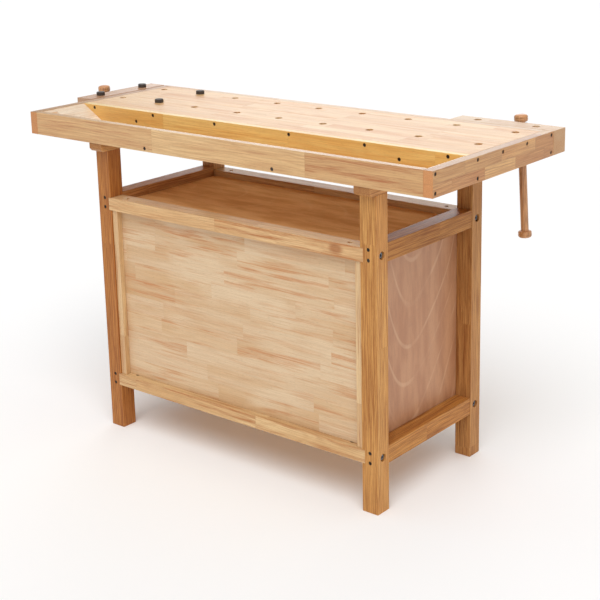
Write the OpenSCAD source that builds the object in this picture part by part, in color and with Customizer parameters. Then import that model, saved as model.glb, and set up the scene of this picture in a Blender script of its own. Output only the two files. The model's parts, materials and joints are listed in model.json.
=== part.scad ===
// European joiner's workbench with a tool tray, a front vise, a tail vise and a cabinet base.
// +X is the right-hand end seen from the front (tail vise), +Y is the back, +Z is up.
// The origin is on the floor, under the middle of the bounding box.

/* [Top] */
// Height of the working surface
bench_h = 860; // [840:1:900]
// Length of the top over its two end caps
top_l = 1305; // [1290:1:1400]
// Width of the laminated slab with its front and back skirts
slab_w = 350; // [345:1:360]
// Thickness of the slab
slab_t = 20; // [18:0.5:21]
// Height of the skirts, the back rail and the end caps
skirt_h = 60; // [58:1:64]
// Thickness of the skirts and the back rail
skirt_t = 20; // [18:1:22]
// Thickness of the end caps
cap_t = 25; // [22:1:28]
// Clear width of the tool tray
tray_w = 149; // [140:1:160]
// Clear depth of the tool tray
tray_depth = 48; // [40:1:50]
// Thickness of the tool tray's plywood floor
tray_floor_t = 8; // [6:1:9]
// Slope of the ramps at the tray's ends
ramp_deg = 31; // [28:1:35]
// Flat ledge at the top of each ramp
ramp_ledge = 4; // [3:0.5:6]

/* [Dog holes] */
// Diameter of the dog holes
dog_hole_d = 19; // [18:0.5:20]
// Distance of the front row from the slab's front face
row_inset = 60; // [55:1:65]
// Distance between the two rows
row_gap = 166; // [160:1:168]
// Distance between neighbouring holes
dog_pitch = 145; // [142:1:147]
// Distance of the right-hand hole from the end of the top
dog_end = 53.5; // [50:0.5:60]
// Distance of the left-hand hole from its neighbour
dog_last = 166; // [150:1:170]
// Shift of the third hole from the right, towards the right-hand end
third_shift = 10; // [0:1:12]
// Diameter of a dog's head
dog_head_d = 24; // [22:0.5:26]
// Height of a dog's head
dog_head_h = 10; // [8:0.5:12]
// Length of a dog's shank
dog_shank_l = 55; // [40:1:58]

/* [Vises] */
// Length of a vise jaw
jaw_l = 295; // [290:1:300]
// Thickness of a vise jaw
jaw_t = 57; // [54:1:60]
// Gap between the front jaw and the top as it rests
front_gap_y = 1; // [0.5:0.5:2]
// Gap between the tail jaw and the top as it rests, a little open
tail_gap_x = 6; // [5.5:0.5:8]
// Half the distance between the dog holes in a jaw
jaw_hole_x = 83; // [80:1:86]
// Depth of the screw axis below the working surface
screw_drop = 34; // [33:0.5:35]
// Diameter of the vise screws
screw_d = 22; // [20:0.5:23]
// Diameter of the guide rods
rod_d = 16; // [14:0.5:17]
// Half the distance between the guide rods
rod_x = 52; // [50:1:55]
// Length of screw and rods behind the closed jaw
screw_reach = 199; // [195:1:205]
// Diameter of the flange on the jaw
flange_d = 64; // [60:1:66]
// Diameter of the screw's hub
hub_d = 48; // [44:1:50]
// Distance of the handle's axis from the jaw's face
handle_out = 45; // [42:1:50]
// Diameter of the handle bar
bar_d = 20; // [18:0.5:22]
// Free length of the handle bar between its knobs
bar_l = 280; // [260:1:300]
// Diameter of the handle knobs
knob_d = 35; // [32:0.5:38]
// Height of the handle knobs
knob_h = 20; // [18:0.5:24]
// Tilt of the front handle as it hangs
front_tilt = 3.5; // [0:0.5:5]
// Tilt of the tail handle as it hangs
tail_tilt = 3; // [0:0.5:5]

/* [Base] */
// Section of the square legs
leg_w = 45; // [42:1:50]
// Length of the base over its legs
base_l = 910; // [900:1:920]
// Depth of the base over its legs
base_d = 447; // [440:1:455]
// Shift of the base's middle from the top's middle, towards the left
base_shift = 30; // [25:1:35]
// Overhang of the top behind the back legs
back_over = 24; // [20:1:28]
// Height of the bearers on the leg tops
bearer_h = 22; // [20:1:30]
// Height of the long rails
rail_h = 34; // [32:1:36]
// Height of the middle of the upper rails
upper_z = 635; // [630:1:640]
// Height of the middle of the lower rails
lower_z = 140.5; // [138:0.5:145]
// Depth to which the long rails are let into the legs
rail_in = 8; // [6:1:10]
// Height of the end rails
end_rail_h = 45; // [44:1:46]
// Height of the upper end rails' middle above the long rails' middle
end_rail_up = 2.5; // [0:0.5:4]
// Amount by which the end rails lie back from the legs' faces
end_rail_back = 1; // [0.5:0.5:2]

/* [Cabinet] */
// Thickness of the plywood side panels
side_t = 6; // [5:0.5:7]
// Thickness of the back panel, the top panel and the floor
panel_t = 8; // [7:0.5:9]
// Recess of the back panel behind the legs' back faces
back_recess = 20; // [18:1:22]
// Width of the battens that hold the back panel
batten_w = 18; // [16:1:20]
// Thickness of the battens
batten_t = 16; // [14:1:17]
// Recess of the cabinet's top panel below the upper long rails
top_recess = 17; // [15:1:18]
// Thickness of the divider
divider_t = 16; // [14:1:18]
// Thickness of the door and the drawer fronts
front_t = 18; // [16:1:20]
// Recess of the door and the drawer fronts behind the legs' front faces
front_recess = 7; // [6:1:8]
// Gap around the door and the drawer fronts
front_gap = 2.5; // [2:0.5:3]
// Depth of the drawer boxes
drawer_d = 372; // [340:1:375]
// Thickness of the drawer sides
drawer_side_t = 12; // [10:1:13]
// Diameter of the wooden knobs
pull_d = 32; // [28:1:36]

/* [Hidden] */
$fn = 48;
eps = 0.01;                       // overlap of a cutter past a face

// Top, measured from the middle of its length and from the middle of its depth
half_l = top_l / 2;
y_front = -(slab_w + tray_w + skirt_t) / 2;              // front face of the slab
y_slab_back = y_front + slab_w;                          // tray side of the slab
y_back = y_slab_back + tray_w + skirt_t;                 // back face of the top
z_low = bench_h - skirt_h;                               // underside of the skirts
z_tray = bench_h - tray_depth;                           // upper face of the tray floor
ramp_run = (tray_depth - 1) / tan(ramp_deg);

// Dog holes
row_front_y = y_front + row_inset;
row_back_y = row_front_y + row_gap;
dog_r = dog_hole_d / 2;
dog_clear = 0.05;
dog_xs = concat([for (i = [0:7]) half_l - dog_end - i * dog_pitch + (i == 2 ? third_shift : 0)],
                [half_l - dog_end - 7 * dog_pitch - dog_last]);
dog_rows = [row_front_y, row_back_y];

// Vises: the front one opens towards -Y at the left, the tail one towards +X at the front
screw_z = bench_h - screw_drop;
front_vise_x = -half_l + jaw_l / 2;
tail_vise_y = y_front + jaw_l / 2;
jaw_dog_x = half_l + tail_gap_x + jaw_t / 2;
hub_end = 15;                     // hub length beyond the handle's axis
hub_play = 0.3;                   // gap between hub and flange
run_clear = 0.05;                 // radial clearance of a running fit
flange_t = 6;
guide_t = 12;
guide_boss = 30;
rod_set = 40;                     // depth to which the rods are set into the jaw

// Base
base_x0 = -base_shift - base_l / 2;
base_x1 = base_x0 + base_l;
base_y1 = y_back - back_over;
base_y0 = base_y1 - base_d;
in_x0 = base_x0 + leg_w;          // inner faces of the legs
in_x1 = base_x1 - leg_w;
in_y0 = base_y0 + leg_w;
in_y1 = base_y1 - leg_w;
leg_top = z_low - bearer_h;
leg_xc = [base_x0 + leg_w / 2, base_x1 - leg_w / 2];
leg_yc = [base_y0 + leg_w / 2, base_y1 - leg_w / 2];
rail_zs = [lower_z, upper_z];
end_rail_zs = [lower_z, upper_z + end_rail_up];
bearer_end = 2;                   // bearer ends stop short of the top's faces
bearer_chamfer = 7;

// Knock-down bolts and barrel nuts
bolt_d = 8;
bolt_head_d = 13;
bolt_head_h = 6;
socket_d = 7;
socket_t = 4;
recess_d = 19;
recess_t = 10;
nut_d = 10;
nut_l = 24;
nut_in = 45;                      // barrel nut's distance from the leg's inner face
bolt_past = 12;                   // bolt length beyond the barrel nut's axis
hole_play = 0.25;

// Wood screws
screw_head_d = 8.5;
screw_head_h = 3;
screw_sink = 1;
screw_shank_d = 4;
cap_screw_l = 50;
slab_screw_l = 40;                // short of the dog holes
side_screw_l = 45;
low_screw_l = 19;
rail_screw_l = 40;
leg_screw_l = 75;
cap_z_hi = bench_h - 8;
cap_z_lo = z_low + 9.5;
side_z_lo = bench_h - 30.5;
leg_screw_dz = 12.5;
cap_slab_ys = [y_front + 125, y_front + 233];
back_rail_xs = [-204, 217];
tray_side_xs = [-579, -347, -116, 132, 355, 583];
tray_low_xs = [-446, 420];

// Cabinet
lower_top = lower_z + rail_h / 2;
upper_low = upper_z - rail_h / 2;
top_panel_z = upper_z + rail_h / 2 - top_recess;
panel_y = base_y1 - back_recess;
front_y = base_y0 + front_recess;             // face of the door and the drawer fronts
inner_y = front_y + front_t + 1;              // front edges behind the fronts
divider_x = -base_shift - divider_t / 2;
floor_z = lower_top + panel_t;
runner_w = 20;
runner_h = 12;
runner_play = 0.3;
drawer_n = 2;
drawer_pitch = (upper_low - lower_top - front_gap) / drawer_n;
drawer_front_h = drawer_pitch - front_gap;
drawer_x0 = divider_x + divider_t / 2 + 1.5;
drawer_x1 = in_x1 - front_gap;
box_play = 10;                                // side play of a drawer box
box_x0 = divider_x + divider_t + box_play;
box_x1 = in_x1 - side_t - box_play;
box_h = drawer_front_h - 60;
box_lift = 22;                                // box underside above the front's lower edge
box_floor_t = 6;
door_x0 = in_x0 + 2;
door_x1 = divider_x + divider_t / 2 - 1.5;
door_z0 = lower_top + front_gap;
door_z1 = upper_low - front_gap;
hinge_x = in_x0 + 3.2;                        // axis of the door's hinges
hinge_y = front_y - 3.2;
knuckle_r = 3;
pin_r = 1.5;
leaf_t = 1.2;
hinge_h = 60;
hinge_zs = [door_z0 + 40, door_z1 - 40 - hinge_h];
pull_h = 26;
dowel_r = 5;
dowel_l = 12;

// Bounding box and the shift that puts the origin under its middle
box_x_hi = half_l + tail_gap_x + jaw_t + handle_out + knob_d / 2;
box_y_lo = y_front - front_gap_y - jaw_t - handle_out - knob_d / 2;
mid_x = (box_x_hi - half_l) / 2;
mid_y = (box_y_lo + y_back) / 2;

module place() translate([-mid_x, -mid_y, 0]) children();

// A box from one corner to the opposite one
module block(a, b) translate(a) cube([b[0] - a[0], b[1] - a[1], b[2] - a[2]]);

// A cylinder along X, Y or Z from a point
module rod_x(p, r, l) translate(p) rotate([0, 90, 0]) cylinder(r = r, h = l);
module rod_y(p, r, l) translate(p) rotate([-90, 0, 0]) cylinder(r = r, h = l);
module rod_z(p, r, l) translate(p) cylinder(r = r, h = l);

// A countersunk wood screw of length l along +Z, sunk a little below the wood's face at z = 0
module screw_shape(l) rotate_extrude() polygon([
    [0, screw_sink], [screw_head_d / 2, screw_sink],
    [screw_shank_d / 2, screw_sink + screw_head_h],
    [screw_shank_d / 2, l - 5], [0, l]
]);

// The hole for that screw, open to the wood's face
module screw_hole(l) rotate_extrude() polygon([
    [0, -1], [screw_head_d / 2 + 0.5, -1], [screw_head_d / 2 + 0.5, screw_sink],
    [screw_shank_d / 2 + hole_play, screw_sink + screw_head_h + hole_play],
    [screw_shank_d / 2 + hole_play, l + 1], [0, l + 1]
]);
module screw_or_hole(l, hole) {
    if (hole) screw_hole(l);
    else screw_shape(l);
}

// The screws of each group, or their holes
module cap_screws(hole = true) {
    for (side = [-1, 1], p = concat(
            [for (y = [y_front + skirt_t / 2, y_slab_back - skirt_t / 2, y_back - skirt_t / 2],
                  z = [cap_z_lo, cap_z_hi]) [y, z, cap_screw_l]],
            [for (y = cap_slab_ys) [y, bench_h - slab_t / 2 + 1, slab_screw_l]]))
        translate([side * half_l, p[0], p[1]]) rotate([0, -side * 90, 0]) screw_or_hole(p[2], hole);
}
module tray_side_screws(hole = true) {
    for (x = tray_side_xs)
        translate([x, y_slab_back, cap_z_hi]) rotate([90, 0, 0]) screw_or_hole(side_screw_l, hole);
    for (x = tray_low_xs)
        translate([x, y_slab_back, side_z_lo]) rotate([90, 0, 0]) screw_or_hole(low_screw_l, hole);
}
module back_rail_screws(hole = true) {
    for (x = back_rail_xs)
        translate([x, y_back, z_tray - tray_floor_t / 2]) rotate([90, 0, 0])
            screw_or_hole(rail_screw_l, hole);
}
module leg_screws(hole = true) {
    for (x = leg_xc, z = end_rail_zs, dz = [-leg_screw_dz, leg_screw_dz]) {
        translate([x, base_y1, z + dz]) rotate([90, 0, 0]) screw_or_hole(leg_screw_l, hole);
        translate([x, base_y0, z + dz]) rotate([-90, 0, 0]) screw_or_hole(leg_screw_l, hole);
    }
}

// One knock-down bolt's recess and bore along +X from a leg's outer face, and its barrel nut's bore
module bolt_hole() {
    rod_x([-1, 0, 0], recess_d / 2, recess_t + 1);
    rod_x([0, 0, 0], bolt_d / 2 + hole_play, leg_w + nut_in + bolt_past + 1);
    rod_z([leg_w + nut_in, 0, -nut_l / 2], nut_d / 2 + hole_play, (nut_l + rail_h) / 2 + 1);
}
module bolt_and_nut() {
    difference() {
        union() {
            rod_x([recess_t - bolt_head_h, 0, 0], bolt_head_d / 2, bolt_head_h);
            rod_x([recess_t, 0, 0], bolt_d / 2, leg_w + nut_in + bolt_past - recess_t);
        }
        translate([recess_t - bolt_head_h - eps, 0, 0]) rotate([0, 90, 0])
            cylinder(d = socket_d, h = socket_t, $fn = 6);
    }
    difference() {
        rod_z([leg_w + nut_in, 0, -nut_l / 2], nut_d / 2, nut_l);
        rod_x([leg_w, 0, 0], bolt_d / 2 + 0.1, 2 * nut_in);
    }
}
module at_bolts() {
    for (y = leg_yc, z = rail_zs) {
        translate([base_x0, y, z]) children();
        translate([base_x1, y, z]) mirror([1, 0, 0]) children();
    }
}

// Top
module slab() place() color([0.93, 0.80, 0.62]) difference() {
    block([-half_l + cap_t, y_front + skirt_t, bench_h - slab_t],
          [half_l - cap_t, y_slab_back - skirt_t, bench_h]);
    for (x = dog_xs, y = dog_rows) rod_z([x, y, z_low], dog_r, skirt_h + 1);
    cap_screws();
    tray_side_screws();
}
module slab_front_skirt() place() color([0.90, 0.77, 0.59]) difference() {
    block([-half_l + cap_t, y_front, z_low], [half_l - cap_t, y_front + skirt_t, bench_h]);
    at_front_wall() vise_wall_holes(skirt_t);
    cap_screws();
}
module slab_back_skirt() place() color([0.88, 0.67, 0.36]) difference() {
    block([-half_l + cap_t, y_slab_back - skirt_t, z_low], [half_l - cap_t, y_slab_back, bench_h]);
    cap_screws();
    tray_side_screws();
}
module end_cap(side) place() color([0.74, 0.57, 0.38]) difference() {
    block([side > 0 ? half_l - cap_t : -half_l, y_front, z_low],
          [side > 0 ? half_l : -half_l + cap_t, y_back, bench_h]);
    if (side > 0) at_tail_wall() vise_wall_holes(cap_t);
    cap_screws();
}
module end_cap_left() end_cap(-1);
module end_cap_right() end_cap(1);
module back_rail() place() color([0.80, 0.66, 0.47]) difference() {
    block([-half_l + cap_t, y_back - skirt_t, z_low], [half_l - cap_t, y_back, bench_h]);
    cap_screws();
    back_rail_screws();
}
module tray_floor() place() color([0.90, 0.74, 0.50]) difference() {
    block([-half_l + cap_t, y_slab_back, z_tray - tray_floor_t],
          [half_l - cap_t, y_back - skirt_t, z_tray]);
    back_rail_screws();
}
module tray_ramp(side) place() color([0.93, 0.80, 0.58]) difference() {
    translate([side * (half_l - cap_t), y_slab_back, z_tray]) mirror([side > 0 ? 1 : 0, 0, 0])
        translate([0, tray_w, 0]) rotate([90, 0, 0]) linear_extrude(tray_w) polygon([
            [0, 0], [ramp_ledge + ramp_run, 0], [ramp_ledge, tray_depth - 1], [0, tray_depth - 1]
        ]);
    cap_screws();
}
module tray_ramp_left() tray_ramp(-1);
module tray_ramp_right() tray_ramp(1);

// Base
module bearer(x) place() color([0.72, 0.50, 0.30])
    translate([x, 0, 0]) rotate([90, 0, 90]) translate([0, 0, -leg_w / 2]) linear_extrude(leg_w) polygon([
        [y_front + bearer_end, z_low], [y_front + bearer_end, leg_top + bearer_chamfer],
        [y_front + bearer_end + bearer_chamfer, leg_top], [y_back - bearer_end - bearer_chamfer, leg_top],
        [y_back - bearer_end, leg_top + bearer_chamfer], [y_back - bearer_end, z_low]
    ]);
module bearer_left() bearer(leg_xc[0]);
module bearer_right() bearer(leg_xc[1]);

module leg(ix, iy) place() color([0.68, 0.46, 0.27]) difference() {
    translate([leg_xc[ix] - leg_w / 2, leg_yc[iy] - leg_w / 2, 0]) cube([leg_w, leg_w, leg_top]);
    for (z = rail_zs) {
        x_in = ix == 0 ? in_x0 - rail_in : in_x1 - eps;
        translate([x_in, leg_yc[iy] - leg_w / 2 - 1, z - rail_h / 2])
            cube([rail_in + eps, leg_w + 2, rail_h]);
    }
    at_bolts() bolt_hole();
    leg_screws();
}
module leg_front_left() leg(0, 0);
module leg_front_right() leg(1, 0);
module leg_back_left() leg(0, 1);
module leg_back_right() leg(1, 1);

module long_rail(iy, iz) place() color([0.78, 0.58, 0.38]) difference() {
    block([in_x0 - rail_in, leg_yc[iy] - leg_w / 2, rail_zs[iz] - rail_h / 2],
          [in_x1 + rail_in, leg_yc[iy] + leg_w / 2, rail_zs[iz] + rail_h / 2]);
    at_bolts() bolt_hole();
}
module rail_front_upper() long_rail(0, 1);
module rail_front_lower() long_rail(0, 0);
module rail_back_upper() long_rail(1, 1);
module rail_back_lower() long_rail(1, 0);

module end_rail(ix, iz) place() color([0.72, 0.50, 0.30]) difference() {
    z = end_rail_zs[iz];
    block([leg_xc[ix] - leg_w / 2 + end_rail_back, in_y0, z - end_rail_h / 2],
          [leg_xc[ix] + leg_w / 2 - end_rail_back, in_y1, z + end_rail_h / 2]);
    leg_screws();
}
module rail_left_upper() end_rail(0, 1);
module rail_left_lower() end_rail(0, 0);
module rail_right_upper() end_rail(1, 1);
module rail_right_lower() end_rail(1, 0);

// Cabinet
module back_panel() place() color([0.91, 0.77, 0.60])
    block([in_x0, panel_y - panel_t, lower_top], [in_x1, panel_y, upper_low]);
module panel_battens() place() color([0.86, 0.70, 0.52]) {
    block([in_x0, panel_y, lower_top], [in_x0 + batten_w, panel_y + batten_t, upper_low]);
    block([in_x1 - batten_w, panel_y, lower_top], [in_x1, panel_y + batten_t, upper_low]);
}

// An upright panel between the fronts and the back panel, from x0, of thickness t
module upright(x0, t) {
    block([x0, inner_y, lower_top], [x0 + t, panel_y - panel_t, upper_low]);
    block([x0, in_y0, upper_low - eps], [x0 + t, in_y1, top_panel_z - panel_t]);
}
module side_panel_left() place() color([0.66, 0.42, 0.30]) upright(in_x0, side_t);
module side_panel_right() place() color([0.66, 0.42, 0.30]) upright(in_x1 - side_t, side_t);
module cabinet_top() place() color([0.80, 0.60, 0.42])
    block([in_x0, in_y0, top_panel_z - panel_t], [in_x1, in_y1, top_panel_z]);
module cabinet_floor() place() color([0.72, 0.52, 0.34])
    block([in_x0 + side_t, inner_y, lower_top], [in_x1 - side_t, panel_y - panel_t, floor_z]);
module divider() place() color([0.66, 0.42, 0.30]) difference() {
    upright(divider_x, divider_t);
    block([divider_x - 1, inner_y - 1, lower_top - 1],
          [divider_x + divider_t + 1, panel_y, floor_z]);
}
module drawer_runners() place() color([0.84, 0.66, 0.45])
    for (i = [0:drawer_n - 1], x = [divider_x + divider_t, in_x1 - side_t - runner_w]) {
        z = drawer_z(i) + box_lift - runner_play;
        block([x, inner_y, max(floor_z, z - runner_h)], [x + runner_w, panel_y - panel_t, z]);
    }

// Lower edge of drawer front i, counted from the floor
function drawer_z(i) = lower_top + front_gap + i * drawer_pitch;

module drawer_front(i) place() color([0.88, 0.70, 0.48]) difference() {
    block([drawer_x0, front_y, drawer_z(i)], [drawer_x1, front_y + front_t, drawer_z(i) + drawer_front_h]);
    at_drawer_knob(i) knob_hole();
}
module drawer_box(i) place() color([0.90, 0.76, 0.55]) {
    z = drawer_z(i) + box_lift;
    y0 = front_y + front_t;
    difference() {
        block([box_x0, y0, z], [box_x1, y0 + drawer_d, z + box_h]);
        block([box_x0 + drawer_side_t, y0 - 1, z + box_floor_t],
              [box_x1 - drawer_side_t, y0 + drawer_d - drawer_side_t, z + box_h + 1]);
    }
}
module at_drawer_knob(i)
    translate([(drawer_x0 + drawer_x1) / 2, front_y, drawer_z(i) + drawer_front_h / 2]) rotate([90, 0, 0])
        children();

// A turned knob along +Z with a dowel that is set into the front
module pull_knob() rotate_extrude() polygon([
    [0, -dowel_l], [dowel_r, -dowel_l], [dowel_r, 0], [8, 0], [7.5, 8], [pull_d / 2 - 3, 13],
    [pull_d / 2, 17], [pull_d / 2, 21], [pull_d / 2 - 4, pull_h - 1.5], [0, pull_h]
]);
module knob_hole() translate([0, 0, -dowel_l]) cylinder(r = dowel_r + dog_clear, h = dowel_l + 1);

module drawer_lower_front() drawer_front(0);
module drawer_lower_box() drawer_box(0);
module drawer_lower_knob() place() color([0.80, 0.58, 0.36]) at_drawer_knob(0) pull_knob();
module drawer_upper_front() drawer_front(1);
module drawer_upper_box() drawer_box(1);
module drawer_upper_knob() place() color([0.80, 0.58, 0.36]) at_drawer_knob(1) pull_knob();

module at_door_knob()
    translate([door_x1 - 40, front_y, (door_z0 + door_z1) / 2 + 60]) rotate([90, 0, 0]) children();
module cupboard_door() place() color([0.88, 0.70, 0.48]) difference() {
    block([door_x0, front_y, door_z0], [door_x1, front_y + front_t, door_z1]);
    at_door_knob() knob_hole();
    for (z = hinge_zs) block([door_x0 - 1, front_y - 1, z - 0.2],
                             [hinge_x + 26.2, front_y + leaf_t, z + hinge_h + 0.2]);
}
module door_knob() place() color([0.80, 0.58, 0.36]) at_door_knob() pull_knob();

// Fixed half of the hinges: leaf on the leg's inner face, two outer knuckles and the pin
module door_hinges() place() color([0.62, 0.60, 0.55]) for (z = hinge_zs) {
    for (dz = [0, hinge_h * 2 / 3]) {
        rod_z([hinge_x, hinge_y, z + dz], knuckle_r, hinge_h / 3);
        block([in_x0, hinge_y, z + dz], [in_x0 + leaf_t, front_y + front_t - 2, z + dz + hinge_h / 3]);
        block([in_x0, hinge_y, z + dz], [hinge_x, hinge_y + leaf_t, z + dz + hinge_h / 3]);
    }
    rod_z([hinge_x, hinge_y, z], pin_r, hinge_h);
    block([in_x0, front_y + 2, z], [in_x0 + leaf_t, front_y + front_t - 2, z + hinge_h]);
}

// Moving half: leaf let into the door's face and the middle knuckle
module door_hinge_leaves() place() color([0.62, 0.60, 0.55]) for (z = hinge_zs) difference() {
    union() {
        rod_z([hinge_x, hinge_y, z + hinge_h / 3 + 0.3], knuckle_r, hinge_h / 3 - 0.6);
        block([hinge_x, hinge_y, z + hinge_h / 3 + 0.3],
              [hinge_x + leaf_t, front_y + leaf_t, z + hinge_h * 2 / 3 - 0.3]);
        block([hinge_x, front_y, z], [hinge_x + 26, front_y + leaf_t, z + hinge_h]);
    }
    rod_z([hinge_x, hinge_y, z - 1], pin_r + run_clear, hinge_h + 2);
}

// Vises, each drawn with its screw axis along Y, its jaw's inner face at y = 0 and the top behind it
module vise_wall_holes(wall) {
    rod_y([0, -1, 0], screw_d / 2 + 1, wall + 2);
    for (s = [-1, 1]) rod_y([s * rod_x, -1, 0], rod_d / 2 + 1, wall + 2);
}
module vise_jaw() difference() {
    block([-jaw_l / 2, -jaw_t, z_low - screw_z], [jaw_l / 2, 0, bench_h - screw_z]);
    rod_y([0, -jaw_t - 1, 0], screw_d / 2 + 1, jaw_t + 2);
    for (s = [-1, 1]) {
        rod_y([s * rod_x, -rod_set, 0], rod_d / 2, rod_set + 1);
        rod_z([s * jaw_hole_x, -jaw_t / 2, z_low - screw_z - 1], dog_r, skirt_h + 2);
    }
}
module vise_rods() for (s = [-1, 1])
    rod_y([s * rod_x, -rod_set, 0], rod_d / 2, rod_set + screw_reach);
module vise_flange() translate([0, -jaw_t, 0]) difference() {
    rotate([90, 0, 0]) rotate_extrude() polygon([
        [0, 0], [flange_d / 2, 0], [flange_d / 2, flange_t - 2], [flange_d / 2 - 2, flange_t], [0, flange_t]
    ]);
    rod_y([0, -flange_t - 1, 0], screw_d / 2 + run_clear, flange_t + 2);
}
module vise_screw(tilt) translate([0, -jaw_t, 0]) rotate([0, tilt, 0]) difference() {
    union() {
        rod_y([0, -flange_t - 1, 0], screw_d / 2, flange_t + 1 + jaw_t + screw_reach);
        rotate([90, 0, 0]) rotate_extrude() polygon([
            [0, flange_t + hub_play], [hub_d / 2 - 3, flange_t + hub_play], [hub_d / 2, flange_t + 12],
            [hub_d / 2, handle_out + hub_end - 3], [hub_d / 2 - 3, handle_out + hub_end],
            [0, handle_out + hub_end]
        ]);
    }
    rod_z([0, -handle_out, -hub_d], bar_d / 2 + run_clear, 2 * hub_d);
}
module vise_guide(wall) {
    top = screw_drop - slab_t - 0.3;
    difference() {
        union() {
            block([-rod_x - 22, wall, -23], [rod_x + 22, wall + guide_t, top]);
            block([-17, wall, -17], [17, wall + guide_t + guide_boss, top]);
            for (s = [-1, 1]) rod_y([s * rod_x, wall, 0], rod_d / 2 + 4, guide_t + guide_boss);
        }
        rod_y([0, wall - 1, 0], screw_d / 2 + run_clear, guide_t + guide_boss + 2);
        for (s = [-1, 1]) rod_y([s * rod_x, wall - 1, 0], rod_d / 2 + run_clear, guide_t + guide_boss + 2);
    }
}
module vise_handle(tilt) translate([0, -jaw_t - handle_out, 0]) rotate([0, tilt, 0])
    translate([0, 0, hub_d / 2 + knob_h]) rotate([180, 0, 0]) rotate_extrude() polygon([
        [0, 0], [knob_d / 2 - 4, 0], [knob_d / 2, 4], [knob_d / 2, knob_h - 3],
        [knob_d / 2 - 3, knob_h], [bar_d / 2, knob_h],
        [bar_d / 2, knob_h + bar_l], [knob_d / 2 - 3, knob_h + bar_l], [knob_d / 2, knob_h + bar_l + 3],
        [knob_d / 2, 2 * knob_h + bar_l - 4], [knob_d / 2 - 4, 2 * knob_h + bar_l], [0, 2 * knob_h + bar_l]
    ]);
module at_front_wall() translate([front_vise_x, y_front, screw_z]) children();
module at_tail_wall() translate([half_l, tail_vise_y, screw_z]) rotate([0, 0, 90]) children();
module at_front_vise() place() at_front_wall() translate([0, -front_gap_y, 0]) children();
module at_tail_vise() place() at_tail_wall() translate([0, -tail_gap_x, 0]) children();

module front_jaw() color([0.72, 0.56, 0.42]) at_front_vise() vise_jaw();
module front_rods() color([0.70, 0.71, 0.73]) at_front_vise() vise_rods();
module front_flange() color([0.25, 0.26, 0.28]) at_front_vise() vise_flange();
module front_screw() color([0.55, 0.56, 0.58]) at_front_vise() vise_screw(front_tilt);
module front_guide() color([0.25, 0.26, 0.28]) place() at_front_wall() vise_guide(skirt_t);
module front_handle() color([0.76, 0.50, 0.30]) at_front_vise() vise_handle(front_tilt);

module tail_jaw() color([0.72, 0.56, 0.42]) at_tail_vise() vise_jaw();
module tail_rods() color([0.70, 0.71, 0.73]) at_tail_vise() vise_rods();
module tail_flange() color([0.25, 0.26, 0.28]) at_tail_vise() vise_flange();
module tail_screw() color([0.55, 0.56, 0.58]) at_tail_vise() vise_screw(tail_tilt);
module tail_guide() color([0.25, 0.26, 0.28]) place() at_tail_wall() vise_guide(cap_t);
module tail_handle() color([0.76, 0.50, 0.30]) at_tail_vise() vise_handle(tail_tilt);

// Bench dogs
module dog(x, y) place() color([0.16, 0.16, 0.17]) translate([x, y, bench_h]) rotate_extrude() polygon([
    [0, -dog_shank_l], [dog_r - dog_clear - 1.5, -dog_shank_l], [dog_r - dog_clear, -dog_shank_l + 1.5],
    [dog_r - dog_clear, 0], [dog_head_d / 2, 0], [dog_head_d / 2, dog_head_h - 1.5],
    [dog_head_d / 2 - 1.5, dog_head_h], [0, dog_head_h]
]);
module dog_slab_front() dog(dog_xs[1], row_front_y);
module dog_slab_back() dog(dog_xs[1], row_back_y);
module dog_jaw_front() dog(jaw_dog_x, tail_vise_y - jaw_hole_x);
module dog_jaw_back() dog(jaw_dog_x, tail_vise_y + jaw_hole_x);

// Fasteners, each kind as a group of separate solids
module frame_bolts() place() color([0.35, 0.37, 0.40]) at_bolts() bolt_and_nut();
module wood_screws() place() color([0.20, 0.19, 0.18]) {
    cap_screws(false);
    tray_side_screws(false);
    back_rail_screws(false);
    leg_screws(false);
}

slab();
slab_front_skirt();
slab_back_skirt();
end_cap_left();
end_cap_right();
back_rail();
tray_floor();
tray_ramp_left();
tray_ramp_right();
bearer_left();
bearer_right();
leg_front_left();
leg_front_right();
leg_back_left();
leg_back_right();
rail_front_upper();
rail_front_lower();
rail_back_upper();
rail_back_lower();
rail_left_upper();
rail_left_lower();
rail_right_upper();
rail_right_lower();
back_panel();
panel_battens();
side_panel_left();
side_panel_right();
cabinet_top();
cabinet_floor();
divider();
drawer_runners();
drawer_upper_front();
drawer_upper_box();
drawer_upper_knob();
drawer_lower_front();
drawer_lower_box();
drawer_lower_knob();
cupboard_door();
door_knob();
door_hinges();
door_hinge_leaves();
front_jaw();
front_screw();
front_rods();
front_guide();
front_flange();
front_handle();
tail_jaw();
tail_screw();
tail_rods();
tail_guide();
tail_flange();
tail_handle();
dog_slab_front();
dog_slab_back();
dog_jaw_front();
dog_jaw_back();
frame_bolts();
wood_screws();
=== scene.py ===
"""Looks of a joiner's workbench with a tool tray, two vises and a cabinet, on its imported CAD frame."""

import json
import math

import bmesh
import bpy
import numpy as np
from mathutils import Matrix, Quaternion, Vector


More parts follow.
